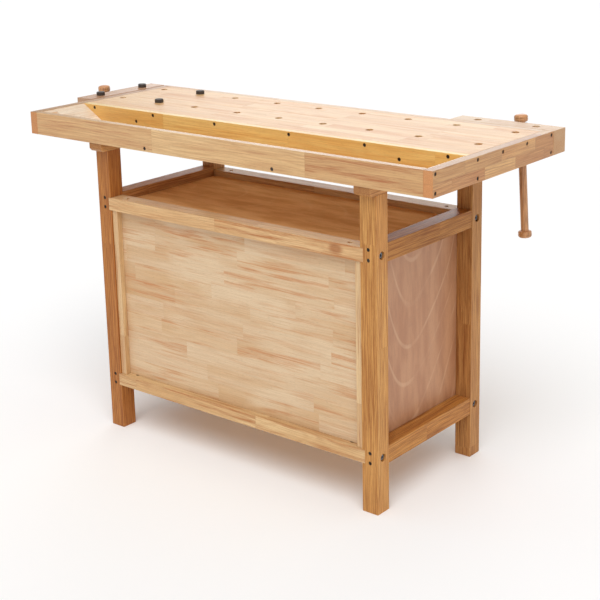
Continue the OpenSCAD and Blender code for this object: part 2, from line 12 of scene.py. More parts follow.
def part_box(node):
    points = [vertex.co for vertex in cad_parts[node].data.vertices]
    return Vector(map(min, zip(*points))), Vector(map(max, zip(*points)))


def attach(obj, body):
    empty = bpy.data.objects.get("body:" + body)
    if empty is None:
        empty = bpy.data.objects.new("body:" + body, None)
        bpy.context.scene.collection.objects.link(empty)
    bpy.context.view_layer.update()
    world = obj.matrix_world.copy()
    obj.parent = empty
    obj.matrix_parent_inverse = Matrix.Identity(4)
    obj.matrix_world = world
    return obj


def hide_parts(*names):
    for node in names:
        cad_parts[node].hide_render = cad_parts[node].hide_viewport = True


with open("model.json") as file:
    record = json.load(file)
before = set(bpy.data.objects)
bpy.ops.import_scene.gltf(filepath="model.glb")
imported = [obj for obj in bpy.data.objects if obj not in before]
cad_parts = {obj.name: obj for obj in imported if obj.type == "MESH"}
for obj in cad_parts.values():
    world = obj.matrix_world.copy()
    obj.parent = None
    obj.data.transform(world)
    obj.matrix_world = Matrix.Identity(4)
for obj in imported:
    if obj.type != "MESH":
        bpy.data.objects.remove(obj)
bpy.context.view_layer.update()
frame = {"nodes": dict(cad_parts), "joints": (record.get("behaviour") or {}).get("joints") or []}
NODES = frame["nodes"]
JOINTS = {joint["name"]: joint for joint in frame["joints"]}
MM = 0.001

# ---------------------------------------------------------------- camera, light and floor

CAMERA_AT = Vector((-2.2458, 2.615, 1.4936))
CAMERA_AIM = Vector((-0.085, 0.0, 0.5986))
CAMERA_ROLL = math.radians(-1.303)
CAMERA_LENS = 80.17       # mm
CAMERA_SHIFT_Y = -0.14
FLOOR_HALF = 40.0         # half the side of the floor, in metres
FLOOR_GREY = 0.96
SKY_LIGHT = 0.57          # strength of the sky as a lamp, and as it is seen
SKY_SEEN = 1.0
# Each sun: its name, the way its light goes, its width in degrees and its strength. The first is high
# and soft; the second is low and gives the shine on the tops.
SUNS = [
    ("key", (0.36, -0.56, -1.0), 45, 1.67),
    ("window", (-0.46, 0.85, -0.25), 38, 0.62),
]


def make_camera():
    data = bpy.data.cameras.new("camera")
    data.lens = CAMERA_LENS
    data.shift_y = CAMERA_SHIFT_Y
    camera = bpy.data.objects.new("camera", data)
    bpy.context.scene.collection.objects.link(camera)
    turn = (CAMERA_AIM - CAMERA_AT).to_track_quat("-Z", "Y")
    camera.rotation_mode = "QUATERNION"
    camera.rotation_quaternion = turn @ Quaternion((0, 0, 1), CAMERA_ROLL)
    camera.location = CAMERA_AT
    bpy.context.scene.camera = camera


def make_sun(name, towards, angle_deg, strength):
    """Even light from far away, going towards a direction; a wide angle makes its shadows soft."""
    data = bpy.data.lights.new(name, "SUN")
    data.angle = math.radians(angle_deg)
    data.energy = strength
    lamp = bpy.data.objects.new(name, data)
    bpy.context.scene.collection.objects.link(lamp)
    lamp.rotation_mode = "QUATERNION"
    lamp.rotation_quaternion = Vector(towards).to_track_quat("-Z", "Y")


def make_world():
    """A white sky, seen brighter than it shines, so that floor and sky meet almost without a line."""
    world = bpy.data.worlds.new("studio")
    world.use_nodes = True
    bpy.context.scene.world = world
    g = Graph(world.node_tree)
    seen = g.node("ShaderNodeLightPath").outputs["Is Camera Ray"]
    sky = world.node_tree.nodes["Background"]
    sky.inputs["Color"].default_value = (1, 1, 1, 1)
    g.put(sky.inputs["Strength"], g.math("MULTIPLY_ADD", seen, SKY_SEEN - SKY_LIGHT, SKY_LIGHT))


def make_floor():
    mesh = bpy.data.meshes.new("floor")
    corners = [(x * FLOOR_HALF, y * FLOOR_HALF, 0) for x, y in ((-1, -1), (1, -1), (1, 1), (-1, 1))]
    mesh.from_pydata(corners, [], [(0, 1, 2, 3)])
    floor = bpy.data.objects.new("floor", mesh)
    bpy.context.scene.collection.objects.link(floor)
    material = bpy.data.materials.new("floor_paper")
    material.use_nodes = True
    shader = material.node_tree.nodes["Principled BSDF"]
    shader.inputs["Base Color"].default_value = (FLOOR_GREY, FLOOR_GREY, FLOOR_GREY, 1)
    shader.inputs["Roughness"].default_value = 0.9
    shader.inputs["Specular IOR Level"].default_value = 0.0
    mesh.materials.append(material)


def make_studio():
    make_camera()
    make_world()
    make_floor()
    for sun in SUNS:
        make_sun(*sun)
    bpy.context.scene.view_settings.view_transform = "Standard"


# ---------------------------------------------------------------- shader helpers


def srgb(r, g, b):
    """A display colour, 0 to 255, as the linear colour that a shader takes."""
    linear = [(c / 255 / 12.92 if c <= 10 else ((c / 255 + 0.055) / 1.055) ** 2.4) for c in (r, g, b)]
    return (*linear, 1.0)


class Graph:
    """Adds nodes to a tree. A value may be a number, a colour or another node's socket."""

    def __init__(self, tree):
        self.tree = tree

    def put(self, socket, value):
        if isinstance(value, bpy.types.NodeSocket):
            self.tree.links.new(value, socket)
        else:
            socket.default_value = value

    def node(self, kind, inputs=None, **settings):
        made = self.tree.nodes.new(kind)
        for key, value in settings.items():
            setattr(made, key, value)
        for key, value in (inputs or {}).items():
            self.put(made.inputs[key], value)
        return made

    def math(self, operation, *values):
        return self.node("ShaderNodeMath", dict(enumerate(values)), operation=operation).outputs[0]

    def add(self, a, b):
        return self.math("ADD", a, b)

    def sub(self, a, b):
        return self.math("SUBTRACT", a, b)

    def mul(self, a, b):
        return self.math("MULTIPLY", a, b)

    def vector(self, x, y, z):
        return self.node("ShaderNodeCombineXYZ", {0: x, 1: y, 2: z}).outputs[0]

    def split(self, vector):
        return self.node("ShaderNodeSeparateXYZ", {0: vector}).outputs

    def noise(self, x, y, z, detail=2.0, roughness=0.5):
        """Noise from about 0.25 to 0.75 at a point whose coordinates are already scaled."""
        wanted = {"Vector": self.vector(x, y, z), "Scale": 1.0, "Detail": detail, "Roughness": roughness}
        return self.node("ShaderNodeTexNoise", wanted).outputs[0]

    def even_noise(self, scale, **settings):
        """Noise of a piece's own space, with scale waves to the metre in every direction."""
        place = self.split(self.node("ShaderNodeTexCoord").outputs["Object"])
        return self.noise(*[self.mul(value, scale) for value in place], **settings)

    def random(self, x, y, z):
        """Three random numbers from 0 to 1 for a cell, and one more."""
        wanted = {"Vector": self.vector(x, y, z)}
        made = self.node("ShaderNodeTexWhiteNoise", wanted, noise_dimensions="3D")
        return [*self.split(made.outputs["Color"]), made.outputs["Value"]]

    def ramp(self, value, low, high, to_low=0.0, to_high=1.0):
        """A soft step from to_low to to_high as value goes from low to high."""
        wanted = {"Value": value, 1: low, 2: high, 3: to_low, 4: to_high}
        return self.node("ShaderNodeMapRange", wanted, interpolation_type="SMOOTHSTEP").outputs[0]

    def mix(self, share, a, b, blend="MIX"):
        made = self.node("ShaderNodeMix", data_type="RGBA", blend_type=blend)
        for socket, value in zip((made.inputs[0], made.inputs[6], made.inputs[7]), (share, a, b)):
            self.put(socket, value)
        return made.outputs[2]


def new_material(name, **values):
    """A material with a Principled shader whose plain values are set, and its graph and shader."""
    material = bpy.data.materials.new(name)
    material.use_nodes = True
    shader = material.node_tree.nodes["Principled BSDF"]
    for key, value in values.items():
        shader.inputs[key.replace("_", " ")].default_value = value
    return material, Graph(material.node_tree), shader


def bump(g, shader, height, strength, depth):
    wanted = {"Height": height, "Strength": strength, "Distance": depth}
    g.put(shader.inputs["Normal"], g.node("ShaderNodeBump", wanted).outputs["Normal"])


# ---------------------------------------------------------------- wood

# Each wood: its pale, middle, dark and streak colours; end is the colour of its end grain.
# stave is the length of its pieces in metres, spread the share by which pieces differ, figure,
# streaks and lines the strength of the growth rings, stray streaks and fine lines, seam that of the
# glue lines, haze that of pale clouds across the staves, ring the rings' spacing in metres, and coat
# and gloss the strength of the varnish and of the wood's own shine.
WOODS = {
    "top": dict(pale=srgb(244, 214, 176), middle=srgb(230, 186, 138), dark=srgb(196, 134, 80),
                streak=srgb(206, 136, 74), end=srgb(182, 136, 96), stave=0.30, spread=0.75,
                figure=0.24, streaks=1.0, lines=0.34, seam=0.24, haze=0.3, ring=0.0055,
                coat=0.12, gloss=0.38),
    "golden": dict(pale=srgb(234, 196, 124), middle=srgb(228, 176, 98), dark=srgb(200, 136, 62),
                   streak=srgb(206, 140, 66), end=srgb(176, 120, 70), stave=0.52, spread=0.6,
                   figure=0.22, streaks=0.55, lines=0.30, seam=0.14, haze=0.3, ring=0.006,
                   coat=0.25, gloss=0.5),
    "rail": dict(pale=srgb(232, 200, 150), middle=srgb(214, 172, 120), dark=srgb(166, 110, 62),
                 streak=srgb(172, 104, 54), end=srgb(176, 112, 70), stave=0.46, spread=0.5,
                 figure=0.24, streaks=0.85, lines=0.34, seam=0.12, haze=0.3, ring=0.005,
                 coat=0.25, gloss=0.5),
    "cap": dict(pale=srgb(222, 182, 126), middle=srgb(200, 146, 92), dark=srgb(150, 94, 50),
                streak=srgb(150, 90, 46), end=srgb(206, 142, 92), stave=0.13, spread=1.2,
                figure=0.35, streaks=0.8, lines=0.45, seam=0.24, haze=0.1, ring=0.005,
                coat=0.2, gloss=0.5),
    "jaw": dict(pale=srgb(226, 178, 134), middle=srgb(212, 158, 112), dark=srgb(164, 110, 72),
                streak=srgb(168, 104, 62), end=srgb(174, 140, 110), stave=0.6, spread=0.7,
                figure=0.35, streaks=0.5, lines=0.4, seam=0.2, haze=0.1, ring=0.005,
                coat=0.25, gloss=0.5),
    "leg": dict(pale=srgb(222, 168, 106), middle=srgb(204, 144, 84), dark=srgb(152, 92, 46),
                streak=srgb(142, 84, 42), end=srgb(150, 100, 60), stave=0.9, spread=0.5,
                figure=0.30, streaks=0.75, lines=0.75, seam=0.08, haze=0.1, ring=0.0045,
                coat=0.0, gloss=0.2),
    "panel": dict(pale=srgb(232, 208, 174), middle=srgb(218, 182, 138), dark=srgb(188, 136, 88),
                  streak=srgb(200, 128, 70), end=srgb(170, 118, 78), stave=0.32, spread=0.55,
                  figure=0.10, streaks=0.75, lines=0.14, seam=0.04, haze=0.8, ring=0.006,
                  coat=0.0, gloss=0.3),
    "front": dict(pale=srgb(232, 200, 156), middle=srgb(218, 176, 126), dark=srgb(186, 130, 78),
                  streak=srgb(198, 134, 80), end=srgb(176, 122, 78), stave=0.30, spread=0.7,
                  figure=0.20, streaks=0.7, lines=0.25, seam=0.14, haze=0.4, ring=0.006,
                  coat=0.1, gloss=0.4),
    "turned": dict(pale=srgb(218, 166, 118), middle=srgb(188, 132, 86), dark=srgb(120, 76, 44),
                   streak=srgb(110, 68, 40), end=srgb(190, 130, 86), stave=2.0, spread=0.3,
                   figure=0.5, streaks=0.6, lines=0.5, seam=0.0, haze=0.0, ring=0.0035,
                   coat=0.25, gloss=0.5),
}
WOODS["base_rail"] = dict(WOODS["rail"], coat=0.0, gloss=0.25)
SEAM = 0.25 * MM          # half the width of a glue line
FINGER = 5 * MM           # depth of the finger joints, seen on the boards' edges
FINGER_PITCH = 4 * MM
PITH_SPREAD = 0.16        # how far the hearts of neighbouring pieces lie apart
PITH_DEPTH = 0.03
PITH_WANDER = 0.09        # and how far each wanders along its piece
JUMP = 9.0                # metres of grain, or waves, by which neighbouring pieces differ
ROW_JUMP = 17.3           # the same for the joints of neighbouring staves, in pieces
RING_UNEVEN = 9.0         # radians by which the rings' spacing varies
RING_EDGE = 1.6           # above 1, the dark half of a ring is the narrower
LIGHT_TONE = 0.15         # share of the middle colour in the palest wood
CLOUD_TONE = 0.55         # and how much the clouds add to it
END_TONE = 0.65           # share of the end grain's colour on a board's end
FIBRE_SHADE = 0.34
PORE_SHADE = 0.20
VARNISH_ROUGHNESS = 0.22
WOOD_ROUGHNESS = 0.34     # between the fibres; they and the end grain add the next two
FIBRE_ROUGHNESS = 0.16
END_ROUGHNESS = 0.12
# Noises drawn out along the grain: waves to the metre along and across it, detail and roughness
RING_FADE = (3.1, 40.0, 2.0, 0.5)
CLOUDS = (2.2, 22.0, 3.0, 0.5)
FINE_LINES = (7.5, 420.0, 4.0, 0.7)
FIBRES = (14.0, 520.0, 2.0, 0.6)
PORES = (75.0, 1500.0, 1.0, 0.5)


def board_space(g, low, axes):
    """Metres along the grain, across the staves and through the board, from the corner low."""
    place = g.node("ShaderNodeTexCoord").outputs["Object"]
    moved = g.node("ShaderNodeVectorMath", {0: place, 1: tuple(low)}, operation="SUBTRACT").outputs[0]
    by_name = dict(zip("XYZ", g.split(moved)))
    return [by_name[axis] for axis in axes]


def end_share(g, axis):
    """1 where the face cuts across the grain."""
    normal = g.split(g.node("ShaderNodeTexCoord").outputs["Normal"])["XYZ".index(axis)]
    return g.ramp(g.math("ABSOLUTE", normal), 0.6, 0.85)


def make_wood(name, wood, low, high, axes, staves, seed, tone_and_light=(1, 1, 1), knot=None):
    """Wood for one board from low to high; axes names its grain, width and depth."""
    w = WOODS[wood]
    material, g, shader = new_material(name, Coat_Weight=w["coat"], Coat_Roughness=VARNISH_ROUGHNESS,
                                       Specular_IOR_Level=w["gloss"])
    along, across, deep = board_space(g, low, axes)
    width = (high - low)["XYZ".index(axes[1])] / staves

    # Staves and the finger-jointed pieces in them
    row = g.math("FLOOR", g.math("DIVIDE", across, width))
    shift = g.random(row, seed, 0.5)[3]
    zigzag = g.mul(g.math("PINGPONG", deep, FINGER_PITCH / 2), 2 * FINGER / FINGER_PITCH)
    pieces = g.math("MULTIPLY_ADD", shift, 0.5 / w["stave"], 0.75 / w["stave"])
    count = g.mul(g.add(along, zigzag), pieces)
    count = g.math("MULTIPLY_ADD", shift, ROW_JUMP, count)
    column = g.math("FLOOR", count)
    r1, r2, r3, r4 = g.random(column, row, seed)

    # Each piece starts elsewhere along the same grain
    x = g.math("MULTIPLY_ADD", r1, JUMP, along)

    def drawn(lengthwise, crosswise, detail, roughness):
        return g.noise(g.mul(x, lengthwise), g.mul(across, crosswise), g.mul(deep, crosswise),
                       detail, roughness)

    # Growth rings round each piece's own heart, which wanders along the piece
    wander = g.sub(g.noise(g.mul(x, 1.9), g.math("MULTIPLY_ADD", r2, JUMP, g.mul(across, 5.0)),
                           g.mul(deep, 5.0), detail=2.0), 0.5)
    middle = g.math("MULTIPLY_ADD", row, width, width / 2)
    side = g.add(g.sub(across, middle), g.mul(g.sub(r2, 0.5), PITH_SPREAD))
    under = g.add(g.math("MULTIPLY_ADD", r3, 2 * PITH_DEPTH, deep), PITH_DEPTH / 2)
    under = g.math("MULTIPLY_ADD", wander, PITH_WANDER, under)
    radius = g.math("SQRT", g.add(g.mul(side, side), g.mul(under, under)))
    if knot:
        radius = g.add(radius, knot_bulge(g, knot))
    uneven = g.noise(g.mul(radius, 75.0), g.mul(x, 0.7), g.mul(r1, JUMP), 2.0)
    phase = g.math("MULTIPLY_ADD", uneven, RING_UNEVEN, g.mul(radius, 2 * math.pi / w["ring"]))
    ring = g.math("MULTIPLY_ADD", g.math("SINE", phase), 0.5, 0.5)
    ring = g.mul(g.math("POWER", ring, RING_EDGE), g.ramp(drawn(*RING_FADE), 0.35, 0.6, 0.35, 1.0))

    # Broad clouds, bands of streaks, fibres and pores, all drawn out along the grain
    broad = g.ramp(drawn(*CLOUDS), 0.36, 0.64)
    band = g.ramp(g.noise(g.mul(x, 4.5), g.math("MULTIPLY_ADD", r4, 7.0, g.mul(across, 70.0)),
                          g.mul(deep, 70.0), 4.0, 0.6), 0.49, 0.63)
    lines = g.ramp(drawn(*FINE_LINES), 0.42, 0.60)
    haze = g.ramp(g.noise(g.math("MULTIPLY_ADD", along, 3.0, seed), g.mul(across, 9.0),
                          g.mul(deep, 9.0), 3.0), 0.5, 0.62)
    stray = g.mul(band, g.math("MULTIPLY_ADD", lines, 0.6, 0.4))
    stray = g.mul(stray, g.ramp(r4, 0.1, 0.8, 0.35, 1.0))
    fibre = drawn(*FIBRES)
    pore = g.ramp(drawn(*PORES), 0.60, 0.72)

    # Glue lines between staves and at the finger joints
    in_row = g.math("PINGPONG", across, width / 2)
    in_column = g.mul(g.math("PINGPONG", count, 0.5), w["stave"])
    seam = g.ramp(g.math("MINIMUM", in_row, in_column), SEAM, 2 * SEAM, 1.0, 0.0)
    end = end_share(g, axes[0])

    # Colour
    tone = g.math("MULTIPLY_ADD", g.sub(r1, 0.5), w["spread"], g.mul(broad, CLOUD_TONE))
    colour = g.mix(g.add(tone, LIGHT_TONE), w["pale"], w["middle"])
    colour = g.mix(g.mul(g.ramp(r3, 0.2, 0.9), 0.30 * w["spread"]), colour, w["dark"])
    colour = g.mix(g.mul(ring, w["figure"]), colour, w["dark"])
    colour = g.mix(g.mul(haze, w["haze"]), colour, w["pale"])
    colour = g.mix(g.mul(lines, w["lines"]), colour, w["dark"])
    colour = g.mix(g.mul(stray, w["streaks"]), colour, w["streak"])
    colour = g.mix(g.mul(end, END_TONE), colour, w["end"])
    if knot:
        colour = g.mix(g.mul(knot_heart(g, knot), KNOT_TONE), colour, KNOT_COLOUR)
    shade = g.math("MULTIPLY_ADD", g.sub(fibre, 0.5), FIBRE_SHADE, 1.0)
    shade = g.mul(shade, g.math("MULTIPLY_ADD", pore, -PORE_SHADE, 1.0))
    shade = g.mul(shade, g.math("MULTIPLY_ADD", seam, -w["seam"], 1.0))
    # The board's shares of red, green and blue scale its whole colour: partly its own tone, and partly
    # painted light and shade.
    grey = g.vector(*[g.mul(shade, share) for share in tone_and_light])
    g.put(shader.inputs["Base Color"], g.mix(1.0, colour, grey, "MULTIPLY"))

    # Shine and relief
    gloss = g.math("MULTIPLY_ADD", fibre, FIBRE_ROUGHNESS, WOOD_ROUGHNESS)
    g.put(shader.inputs["Roughness"], g.math("MULTIPLY_ADD", end, END_ROUGHNESS, gloss))
    height = g.math("MULTIPLY_ADD", pore, -0.8, fibre)
    height = g.math("MULTIPLY_ADD", ring, 0.25, height)
    bump(g, shader, g.math("MULTIPLY_ADD", seam, -1.0, height), 0.35, 0.25 * MM)
    return material


KNOT_SIZE = 32 * MM       # how far a knot pushes the rings; its heart is about half as wide
KNOT_COLOUR = srgb(158, 96, 52)
KNOT_TONE = 0.75          # share of that colour at the heart


def knot_distance(g, knot, stretch):
    """Distance from a knot's middle, with the grain's direction counted 1 / stretch times."""
    place = g.node("ShaderNodeTexCoord").outputs["Object"]
    away = g.node("ShaderNodeVectorMath", {0: place, 1: tuple(knot)}, operation="SUBTRACT").outputs[0]
    x, y, z = g.split(away)
    return g.node("ShaderNodeVectorMath", {0: g.vector(g.math("DIVIDE", x, stretch), y, z)},
                  operation="LENGTH").outputs["Value"]


def knot_bulge(g, knot):
    """The rings bend round a knot."""
    return g.ramp(knot_distance(g, knot, 3.0), 0.0, 3 * KNOT_SIZE, KNOT_SIZE, 0.0)


def knot_heart(g, knot):
    """1 in the knot's dark middle, and 0 outside."""
    return g.ramp(knot_distance(g, knot, 1.6), 0.2 * KNOT_SIZE, 0.55 * KNOT_SIZE, 1.0, 0.0)


ARCH_DEPTH = -0.34        # height of the arcs of the veneer, their wander and their spacing, in metres
ARCH_WANDER = 0.55
ARCH_PITCH = 0.13
VENEER_FIBRE_SHADE = 0.30
FLECK_SHADE = 0.16


def make_plywood(name, low, high, axes, seed, pale, middle, dark, arcs, coat, gloss):
    """Rotary-cut veneer: broad wandering arcs along its grain. arcs is their strength."""
    material, g, shader = new_material(name, Coat_Weight=coat, Coat_Roughness=0.3,
                                       Specular_IOR_Level=gloss)
    along, across, deep = board_space(g, low, axes)
    half = (high - low)["XYZ".index(axes[1])] / 2
    side = g.math("DIVIDE", g.sub(across, half), half)
    bend = g.noise(g.math("MULTIPLY_ADD", along, 1.6, seed), g.mul(across, 2.6), seed, 1.0, 0.4)
    arch = g.math("MULTIPLY_ADD", g.mul(side, side), ARCH_DEPTH, along)
    level = g.math("MULTIPLY_ADD", bend, ARCH_WANDER, arch)
    wave = g.math("SINE", g.mul(level, 2 * math.pi / ARCH_PITCH))
    broken = g.ramp(g.noise(g.mul(along, 9.0), g.mul(across, 9.0), seed), 0.4, 0.6, 0.2, 1.0)
    line = g.mul(g.ramp(wave, 0.90, 1.0), broken)
    mottle = g.ramp(g.noise(g.mul(along, 6.0), g.mul(across, 28.0), seed, 3.0, 0.6), 0.35, 0.66)
    fibre = g.noise(g.mul(along, 22.0), g.mul(across, 620.0), g.mul(deep, 100.0), 2.0, 0.6)
    fleck = g.ramp(g.noise(g.mul(along, 90.0), g.mul(across, 1100.0), seed, 1.0), 0.60, 0.70)
    colour = g.mix(mottle, middle, dark)
    colour = g.mix(g.mul(line, arcs), colour, pale)
    shade = g.math("MULTIPLY_ADD", g.sub(fibre, 0.5), VENEER_FIBRE_SHADE, 1.0)
    shade = g.mul(shade, g.math("MULTIPLY_ADD", fleck, -FLECK_SHADE, 1.0))
    g.put(shader.inputs["Base Color"], g.mix(1.0, colour, g.vector(shade, shade, shade), "MULTIPLY"))
    g.put(shader.inputs["Roughness"], g.math("MULTIPLY_ADD", fibre, 0.2, 0.36))
    bump(g, shader, g.sub(fibre, fleck), 0.3, 0.2 * MM)
    return material


# ---------------------------------------------------------------- metal and plastic


def make_steel(name, colour, roughness, axis):
    """Turned bright steel with fine marks round its axis."""
    material, g, shader = new_material(name, Metallic=1.0)
    place = g.split(g.node("ShaderNodeTexCoord").outputs["Object"])
    marks = [g.mul(value, 2500.0 if letter == axis else 60.0) for value, letter in zip(place, "XYZ")]
    fine = g.noise(*marks, detail=3.0, roughness=0.7)
    stain = g.ramp(g.even_noise(35.0, detail=4.0), 0.40, 0.70)
    g.put(shader.inputs["Base Color"], g.mix(g.mul(stain, 0.5), colour, srgb(120, 112, 104)))
    dull = g.math("MULTIPLY_ADD", stain, 0.12, roughness)
    g.put(shader.inputs["Roughness"], g.math("MULTIPLY_ADD", fine, 0.25, dull))
    bump(g, shader, fine, 0.15, 0.05 * MM)
    return material


def make_cast(name):
    """Sand-cast iron under satin black paint."""
    material, g, shader = new_material(name, Coat_Weight=0.2, Coat_Roughness=0.3)
    grain = g.even_noise(900.0, detail=3.0)
    lump = g.even_noise(130.0, detail=2.0)
    colour = g.mix(g.ramp(lump, 0.35, 0.65), srgb(44, 46, 50), srgb(58, 60, 64))
    g.put(shader.inputs["Base Color"], colour)
    g.put(shader.inputs["Roughness"], g.math("MULTIPLY_ADD", grain, 0.25, 0.36))
    bump(g, shader, g.math("MULTIPLY_ADD", lump, 1.4, grain), 0.5, 0.25 * MM)
    return material


def make_plastic(name):
    """Charcoal plastic with a fine moulded grain."""
    material, g, shader = new_material(name)
    grain = g.even_noise(1500.0, detail=2.0)
    scuff = g.ramp(g.even_noise(90.0, detail=4.0, roughness=0.7), 0.5, 0.7)
    g.put(shader.inputs["Base Color"], g.mix(g.mul(scuff, 0.6), srgb(62, 54, 50), srgb(92, 80, 72)))
    g.put(shader.inputs["Roughness"], g.math("MULTIPLY_ADD", grain, 0.25, 0.38))
    bump(g, shader, grain, 0.35, 0.1 * MM)
    return material


# ---------------------------------------------------------------- materials of the CAD nodes

# Nodes with the same wood: its name, the axes of grain, width and depth, the number of staves across
# the width, and the nodes.
BOARDS = [
    ("top", "XYZ", 8, ["slab"]),
    ("top", "XZY", 1, ["slab_front_skirt"]),
    ("golden", "XZY", 1, ["slab_back_skirt"]),
    ("rail", "XZY", 1, ["back_rail"]),
    ("cap", "YZX", 2, ["end_cap_left", "end_cap_right"]),
    ("top", "XYZ", 3, ["tray_floor"]),
    ("top", "YXZ", 1, ["tray_ramp_left", "tray_ramp_right"]),
    ("leg", "YZX", 1, ["bearer_left", "bearer_right"]),
    ("leg", "ZYX", 1, ["leg_front_left", "leg_front_right", "leg_back_left", "leg_back_right"]),
    ("base_rail", "XZY", 1, ["rail_front_upper", "rail_front_lower", "rail_back_upper",
                             "rail_back_lower"]),
    ("leg", "YZX", 1, ["rail_left_upper", "rail_left_lower", "rail_right_upper", "rail_right_lower"]),
    ("panel", "XZY", 10, ["back_panel"]),
    ("rail", "ZXY", 1, ["panel_battens"]),
    ("front", "YXZ", 1, ["drawer_runners"]),
    ("front", "XZY", 4, ["drawer_upper_front", "drawer_lower_front"]),
    ("front", "XZY", 2, ["drawer_upper_box", "drawer_lower_box"]),
    ("front", "ZXY", 8, ["cupboard_door"]),
    ("top", "XZY", 1, ["front_jaw"]),
    ("jaw", "YZX", 1, ["tail_jaw"]),
    ("turned", "YXZ", 1, ["drawer_upper_knob", "drawer_lower_knob", "door_knob"]),
    ("turned", "ZXY", 1, ["front_handle", "tail_handle"]),
]
# The red, green and blue of some boards, as multiples of their wood's. Partly each board's own tone, and
# partly painted light and shade: a board is made paler or darker in place of light that the lamps give
# it too little or too much of, as on the paler tray ramps and back skirt.
TONE_AND_LIGHT = {
    "slab": (0.90, 0.855, 0.71),
    "slab_back_skirt": (1.20, 1.33, 1.36),
    "back_rail": (0.97, 0.91, 0.82),
    "end_cap_left": (1.06, 0.97, 0.82),
    "end_cap_right": (0.90, 0.76, 0.58),
    "front_jaw": (0.94, 0.92, 0.85),
    "tray_ramp_left": (1.05, 1.28, 1.65),
    "tray_ramp_right": (1.05, 1.28, 1.65),
    "leg_back_left": (1.12, 1.12, 0.96),
    "leg_back_right": (0.84, 0.66, 0.47),
    "leg_front_left": (0.92, 0.90, 0.84),
    "rail_left_upper": (0.82, 0.70, 0.46),
    "rail_left_lower": (0.92, 0.82, 0.58),
    "rail_back_upper": (1.04, 1.02, 1.02),
    "back_panel": (0.92, 0.89, 0.86),
    "front_handle": (1.25, 1.22, 1.12),
    "tail_handle": (1.25, 1.22, 1.12),
}
KNOT_IN = 78 * MM         # the knot of the upper back rail: from the rail's end, and above its middle
KNOT_UP = 3 * MM


def paint(node, material):
    NODES[node].data.materials[0] = material


def finish_of(node):
    return NODES[node].data.materials[0]


def paint_boards():
    seed = 1.0
    for wood, axes, staves, nodes in BOARDS:
        for node in nodes:
            low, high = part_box(node)
            tone_and_light = TONE_AND_LIGHT.get(node, (1, 1, 1))
            knot = None
            if node == "rail_back_upper":
                knot = (low[0] + KNOT_IN, high[1], (low[2] + high[2]) / 2 + KNOT_UP)
            paint(node, make_wood(node, wood, low, high, axes, staves, seed, tone_and_light, knot))
            seed += 1.0


def paint_plywood():
    red = dict(pale=srgb(222, 180, 144), middle=srgb(198, 146, 108), dark=srgb(182, 128, 92), arcs=0.4,
               coat=0.1, gloss=0.5)
    tan = dict(pale=srgb(246, 206, 152), middle=srgb(240, 192, 134), dark=srgb(220, 166, 108), arcs=0.25,
               coat=0.0, gloss=0.0)
    for index, node in enumerate(("side_panel_left", "side_panel_right", "divider")):
        paint(node, make_plywood(node, *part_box(node), "ZYX", 3.0 + index, **red))
    for index, node in enumerate(("cabinet_top", "cabinet_floor")):
        paint(node, make_plywood(node, *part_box(node), "XYZ", 11.0 + index, **tan))


def paint_metal():
    cast = make_cast("cast_iron_paint")
    plastic = make_plastic("dog_plastic_charcoal")
    zinc = make_steel("bolt_zinc", srgb(128, 134, 142), 0.28, "X")
    black = make_steel("screw_black", srgb(70, 62, 56), 0.35, "Y")
    hinge = make_steel("hinge_brass_plate", srgb(176, 170, 156), 0.25, "Z")
    for node in ("front_guide", "front_flange", "tail_guide", "tail_flange"):
        paint(node, cast)
    for node in ("dog_slab_front", "dog_slab_back", "dog_jaw_front", "dog_jaw_back"):
        paint(node, plastic)
    for node, axis in (("front_screw", "Y"), ("front_rods", "Y"), ("tail_screw", "X"),
                       ("tail_rods", "X")):
        paint(node, make_steel(node + "_steel", srgb(188, 188, 190), 0.22, axis))
    for node in ("door_hinges", "door_hinge_leaves"):
        paint(node, hinge)
    paint("frame_bolts", zinc)
    paint("wood_screws", black)


# ---------------------------------------------------------------- turned pieces

ROUND = 64                # points round a turned piece
CREASE = math.radians(50)

# A handle's knob: (share of its length from the outer end, share of its radius)
HANDLE_KNOB = [(0.0, 0.0), (0.005, 0.40), (0.02, 0.62), (0.06, 0.78), (0.13, 0.90), (0.24, 0.975),
               (0.36, 1.0), (0.47, 1.0), (0.50, 0.965), (0.53, 0.965), (0.56, 1.0), (0.72, 0.995),
               (0.86, 0.96), (0.95, 0.88), (1.0, 0.74)]
# A pull: (share of its length from the dowel's end, share of its radius)
PULL = [(0.0, 0.0), (0.0, 0.27), (0.03, 0.31), (0.316, 0.31), (0.316, 0.60), (0.335, 0.64), (0.36, 0.60),
        (0.40, 0.50), (0.47, 0.46), (0.55, 0.48), (0.62, 0.56), (0.69, 0.70), (0.75, 0.86), (0.80, 0.95),
        (0.85, 1.0), (0.90, 1.0), (0.945, 0.94), (0.975, 0.82), (0.992, 0.62), (1.0, 0.35), (1.0, 0.0)]


def stand(node, piece, body):
    """Puts a piece in a CAD node's place: the node is hidden and the piece moves with the node's body.
    """
    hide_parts(node)
    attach(piece, body)


def add_turned(bm, profile, origin, turn, count=ROUND):
    """Adds the surface of (height, radius) pairs round the turned +Z; returns its rings of points."""
    rings = []
    for height, radius in profile:
        angles = [0.0] if radius == 0 else [2 * math.pi * i / count for i in range(count)]
        spots = [Vector((radius * math.cos(a), radius * math.sin(a), height)) for a in angles]
        rings.append([bm.verts.new(origin + turn @ spot) for spot in spots])
    for below, above in zip(rings, rings[1:]):
        for i in range(count):
            j = (i + 1) % count
            corners = [below[i % len(below)], below[j % len(below)],
                       above[j % len(above)], above[i % len(above)]]
            bm.faces.new(list(dict.fromkeys(corners)))
    return rings


